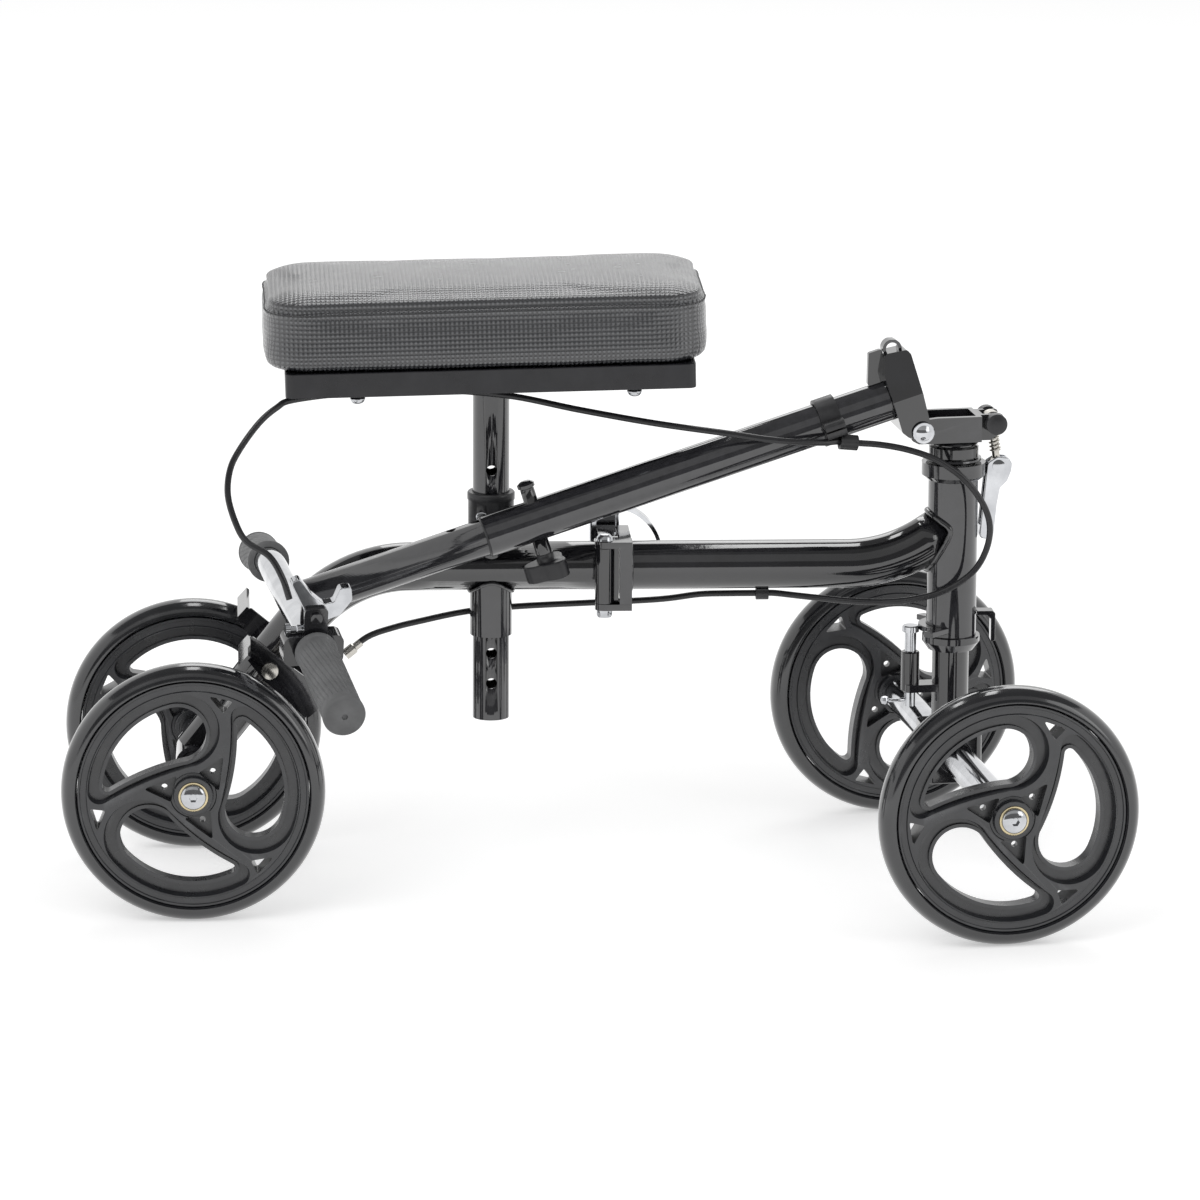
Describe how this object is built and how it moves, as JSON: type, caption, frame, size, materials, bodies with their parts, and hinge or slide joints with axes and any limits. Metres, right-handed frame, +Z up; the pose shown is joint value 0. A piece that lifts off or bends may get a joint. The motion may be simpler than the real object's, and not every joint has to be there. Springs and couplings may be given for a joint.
{
  "type": "folding knee walker",
  "caption": "Folding knee walker: padded knee seat on a hinged wheeled frame, with a steered front axle, a folding column, a handlebar and a hand brake.",
  "frame": {"origin": "on the floor, at the middle of the walker's footprint in the folded-column pose", "axes": "+X forward, towards the steered front wheels; +Y to the walker's left; +Z up"},
  "size_m": [0.8222, 0.5338, 0.4939],
  "materials": {
    "gloss_black_paint": "gloss black powder coat, lightly orange-peeled",
    "satin_black_metal": "satin black, slightly greyer than the tubes",
    "black_plastic": "moulded black plastic with a fine grain",
    "rim_plastic": "glossy black glass-filled plastic",
    "tyre_rubber": "smooth solid black polyurethane, semi-gloss",
    "grip_rubber": "black ribbed rubber, satin",
    "chrome_plate": "polished chrome plate",
    "zinc_steel": "bright zinc plate",
    "black_vinyl": "embossed black vinyl, woven look, double-stitched seam",
    "cable_jacket": "black plastic cable jacket, semi-gloss"
  },
  "bodies": {
    "chassis": {"main_tube_front": "gloss_black_paint", "head_tube": "gloss_black_paint", "headset_upper_cup": "gloss_black_paint", "headset_lower_cup": "gloss_black_paint", "steering_stop": "gloss_black_paint", "head_hook": "gloss_black_paint", "hinge_plate_front": "gloss_black_paint", "hinge_bolt": "chrome_plate", "frame_latch_block": "chrome_plate", "cable_clip": "black_plastic"},
    "frame_latch": {"frame_latch_lever": "chrome_plate"},
    "rear_frame": {"main_tube_rear": "gloss_black_paint", "hinge_plate_rear": "gloss_black_paint", "seat_post_sleeve": "gloss_black_paint", "seat_post_collar": "black_plastic", "rear_axle_tube": "chrome_plate", "rear_axle_clamp": "gloss_black_paint", "rear_wheel_near_bolt": "chrome_plate", "rear_wheel_far_bolt": "chrome_plate", "brake_yoke_bolt": "zinc_steel", "brake_cable_rear": "cable_jacket"},
    "seat": {"seat_post": "gloss_black_paint", "seat_tray": "gloss_black_paint", "seat_cushion": "black_vinyl"},
    "rear_wheel_near": {"rear_wheel_near_rim": "rim_plastic", "rear_wheel_near_tyre": "tyre_rubber"},
    "rear_wheel_far": {"rear_wheel_far_rim": "rim_plastic", "rear_wheel_far_tyre": "tyre_rubber"},
    "rear_brake": {"brake_yoke": "gloss_black_paint", "cable_ferrule": "zinc_steel"},
    "steering": {"fork_steerer": "gloss_black_paint", "front_axle_tube": "chrome_plate", "headset_locknut": "gloss_black_paint", "column_base": "gloss_black_paint", "column_pivot_bolt": "chrome_plate", "latch_cross_pin": "black_plastic", "lock_sleeve": "gloss_black_paint", "front_wheel_near_bolt": "chrome_plate", "front_wheel_far_bolt": "chrome_plate"},
    "lock_pin": {"lock_pin": "chrome_plate"},
    "front_wheel_near": {"front_wheel_near_rim": "rim_plastic", "front_wheel_near_tyre": "tyre_rubber"},
    "front_wheel_far": {"front_wheel_far_rim": "rim_plastic", "front_wheel_far_tyre": "tyre_rubber"},
    "latch_clamp": {"latch_stud": "zinc_steel", "latch_spring": "zinc_steel"},
    "latch_lever": {"latch_lever": "chrome_plate"},
    "column": {"column_casting": "gloss_black_paint", "column_tube": "gloss_black_paint", "column_clamp": "satin_black_metal", "brake_cable_front": "cable_jacket"},
    "height_knob": {"height_knob": "black_plastic"},
    "handlebar": {"handlebar_mast": "gloss_black_paint", "handlebar": "chrome_plate", "grip_near": "grip_rubber", "grip_far": "grip_rubber", "brake_clamp": "black_plastic", "brake_cable_upper": "cable_jacket"},
    "brake_lever": {"brake_lever": "chrome_plate"}
  },
  "joints": [
    {"name": "frame_fold", "type": "hinge", "parent": "chassis", "child": "rear_frame", "pos_m": [0.01016, 0.01174, 0], "axis": [0, 0, 1], "range_deg": [0, 8], "deforming": ["brake_cable_rear"]},
    {"name": "frame_latch_turn", "type": "hinge", "parent": "chassis", "child": "frame_latch", "pos_m": [0.01876, 0.07904, 0], "axis": [0, 0, 1], "range_deg": [0, 60]},
    {"name": "seat_height", "type": "slide", "parent": "rear_frame", "child": "seat", "axis": [0, 0, 1], "range_m": [-0.024, 0.073]},
    {"name": "rear_wheel_near_spin", "type": "hinge", "parent": "rear_frame", "child": "rear_wheel_near", "pos_m": [-0.30949, -0.06026, 0.1016], "axis": [0, 1, 0], "continuous": true},
    {"name": "rear_wheel_far_spin", "type": "hinge", "parent": "rear_frame", "child": "rear_wheel_far", "pos_m": [-0.30949, 0.14974, 0.1016], "axis": [0, 1, 0], "continuous": true},
    {"name": "steering_turn", "type": "hinge", "parent": "chassis", "child": "steering", "pos_m": [0.28401, 0.04474, 0], "axis": [0, 0, 1], "range_deg": [0, 28], "deforming": ["brake_cable_front"]},
    {"name": "lock_pin_pull", "type": "slide", "parent": "steering", "child": "lock_pin", "axis": [0, 0, -1], "range_m": [0, 0.012], "stiffness_N_per_m": 600, "springref_m": -0.004},
    {"name": "front_wheel_near_spin", "type": "hinge", "parent": "steering", "child": "front_wheel_near", "pos_m": [0.3104, -0.15149, 0.1016], "axis": [-0.1333, 0.9911, 0], "continuous": true},
    {"name": "front_wheel_far_spin", "type": "hinge", "parent": "steering", "child": "front_wheel_far", "pos_m": [0.25761, 0.24097, 0.1016], "axis": [-0.1333, 0.9911, 0], "continuous": true},
    {"name": "column_fold", "type": "hinge", "parent": "steering", "child": "column", "pos_m": [0.25437, 0.04075, 0.3625], "axis": [-0.1333, 0.9911, 0], "range_deg": [0, 12], "deforming": ["brake_cable_front"]},
    {"name": "latch_clamp_swing", "type": "hinge", "parent": "steering", "child": "latch_clamp", "pos_m": [0.31354, 0.04871, 0.366], "axis": [0.1333, -0.9911, 0], "range_deg": [0, 130]},
    {"name": "latch_lever_turn", "type": "hinge", "parent": "latch_clamp", "child": "latch_lever", "pos_m": [0.31856, 0.04939, 0.32995], "axis": [0.1333, -0.9911, 0], "range_deg": [0, 60]},
    {"name": "height_knob_turn", "type": "hinge", "parent": "column", "child": "height_knob", "pos_m": [-0.04512, 0.00047, 0.29918], "axis": [0.2898, 0.039, -0.9563], "continuous": true},
    {"name": "handlebar_height", "type": "slide", "parent": "column", "child": "handlebar", "axis": [-0.9478, -0.1275, -0.2924], "range_m": [0, 0.045], "deforming": ["brake_cable_front", "brake_cable_upper"]},
    {"name": "brake_lever_squeeze", "type": "hinge", "parent": "handlebar", "child": "brake_lever", "pos_m": [-0.21699, -0.15162, 0.26345], "axis": [0.1792, -0.9601, -0.2149], "range_deg": [0, 20], "stiffness_Nm_per_rad": 1.5, "springref_deg": -5.73, "deforming": ["brake_cable_upper"]},
    {"name": "rear_brake_rock", "type": "hinge", "parent": "rear_frame", "child": "rear_brake", "pos_m": [-0.24974, 0.04474, 0.182], "axis": [0, -1, 0], "range_deg": [0, 7], "deforming": ["brake_cable_rear"]}
  ],
  "couplings": [
    {"joint": "rear_brake_rock", "follows": "brake_lever_squeeze", "ratio": 0.35}
  ]
}
